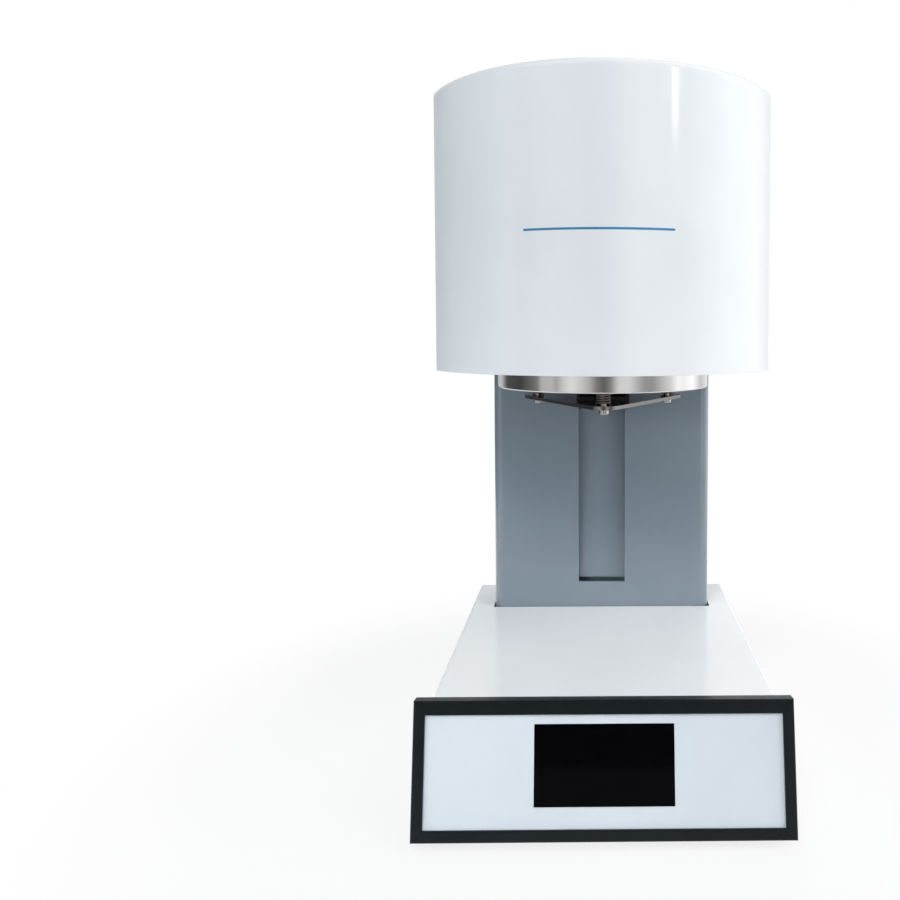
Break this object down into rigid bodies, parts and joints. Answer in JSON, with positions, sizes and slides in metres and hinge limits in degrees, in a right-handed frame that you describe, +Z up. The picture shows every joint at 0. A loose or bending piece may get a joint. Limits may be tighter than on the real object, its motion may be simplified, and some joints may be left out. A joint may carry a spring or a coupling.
{
  "type": "dental lab furnace",
  "caption": "Bench-top vacuum furnace for dental work: D-shaped head on a column, a round lift plate that closes the firing chamber from below, and a low base with a leaning touch-screen panel.",
  "frame": {"origin": "on the bench, under the middle of the overall box", "axes": "+Z up, the panel and the curved front face -Y, +X to the viewer's right"},
  "size_m": [0.294, 0.3196, 0.6],
  "materials": {
    "white_paint": "gloss white powder coat",
    "pale_sheet": "satin pale grey paint",
    "grey_paint": "semi-gloss blue-grey paint",
    "panel_paint": "satin light blue-grey film",
    "black_frame": "semi-gloss black",
    "black_glass": "gloss black, unlit",
    "black_plastic": "fine moulded texture",
    "rocker_plastic": "gloss moulded",
    "circuit_board": "solder mask",
    "black_rubber": "matt",
    "seal_rubber": "satin silicone",
    "steel_sheet": "plain sheet",
    "zinc_sheet": "zinc plated",
    "ground_steel": "ground",
    "polished_plate": "polished stainless, fine turned lines",
    "brushed_plate": "brushed stainless",
    "spring_steel": "oiled spring wire",
    "bolt_steel": "plain stainless",
    "screw_steel": "nickel plated",
    "plated_wire": "plated wire",
    "black_metal": "satin black",
    "alloy_parts": "machined",
    "brass_parts": "turned",
    "copper_pipe": "drawn copper tube",
    "fibre_board": "matt ceramic fibre",
    "firing_ceramic": "unglazed",
    "quartz": "clear fused quartz",
    "heating_wire": "oxidised resistance wire"
  },
  "bodies": {
    "root": {"base_pan": "steel_sheet", "rubber_feet": "black_rubber", "base_cover": "white_paint", "rear_panel": "pale_sheet", "bezel_frame": "black_frame", "front_panel": "panel_paint", "screen_glass": "black_glass", "display_module": "black_plastic", "front_bracket": "steel_sheet", "control_board": "circuit_board", "power_supply": "zinc_sheet", "solid_state_relay": "black_plastic", "power_inlet": "black_plastic", "contact_pins": "brass_parts", "pump_socket": "black_plastic", "switch_housing": "black_plastic", "fan_frame": "black_plastic", "fan_guard": "plated_wire", "vacuum_port": "brass_parts", "vacuum_pipe": "copper_pipe", "vent_valve": "brass_parts", "column_front": "grey_paint", "column_back": "grey_paint", "slot_plate": "grey_paint", "lift_frame": "steel_sheet", "guide_rods": "ground_steel", "screw_bearings": "ground_steel", "lift_motor": "black_metal", "head_cover": "white_paint", "head_back": "pale_sheet", "head_base_plate": "steel_sheet", "head_brackets": "steel_sheet", "chamber_flange": "brushed_plate", "chamber_shell": "brushed_plate", "insulation_ring": "fibre_board", "insulation_top": "fibre_board", "heating_muffle": "quartz", "heater_coil": "heating_wire", "heater_terminals": "firing_ceramic", "thermocouple": "firing_ceramic", "case_screws": "screw_steel", "frame_screws": "screw_steel"},
    "lift": {"lift_carriage": "alloy_parts", "linear_bearings": "ground_steel", "lead_nut": "brass_parts", "lift_arm": "black_metal", "spider_plate": "brushed_plate", "suspension_springs": "spring_steel", "arm_screws": "screw_steel"},
    "door": {"lift_plate": "polished_plate", "suspension_bolts": "bolt_steel", "door_seal": "seal_rubber", "door_insulation": "fibre_board", "firing_table": "firing_ceramic"},
    "screw": {"lead_screw": "ground_steel", "shaft_coupling": "alloy_parts", "motor_rotor": "ground_steel"},
    "fan": {"fan_rotor": "black_plastic"},
    "rocker": {"power_rocker": "rocker_plastic"},
    "drawer": {"fuse_drawer": "black_plastic"}
  },
  "joints": [
    {"name": "lift_slide", "type": "slide", "parent": "root", "child": "lift", "axis": [0, 0, 1], "range_m": [-0.18, 0]},
    {"name": "door_float", "type": "slide", "parent": "lift", "child": "door", "axis": [0, 0, 1], "range_m": [-0.003, 0], "stiffness_N_per_m": 15000, "springref_m": 0.004, "deforming": ["suspension_springs"]},
    {"name": "screw_turn", "type": "hinge", "parent": "root", "child": "screw", "pos_m": [0, 0.10584, 0.2], "axis": [0, 0, 1], "range_deg": [-10, 6500]},
    {"name": "fan_spin", "type": "hinge", "parent": "root", "child": "fan", "pos_m": [-0.057, 0.136, 0.055], "axis": [0, 1, 0], "continuous": true},
    {"name": "rocker_tip", "type": "hinge", "parent": "root", "child": "rocker", "pos_m": [0.05, 0.14234, 0.078], "axis": [1, 0, 0], "range_deg": [0, 20]},
    {"name": "drawer_slide", "type": "slide", "parent": "root", "child": "drawer", "axis": [0, 1, 0], "range_m": [0, 0.018]}
  ],
  "couplings": [
    {"joint": "screw_turn", "follows": "lift_slide", "rad_per_m": -628.32}
  ]
}
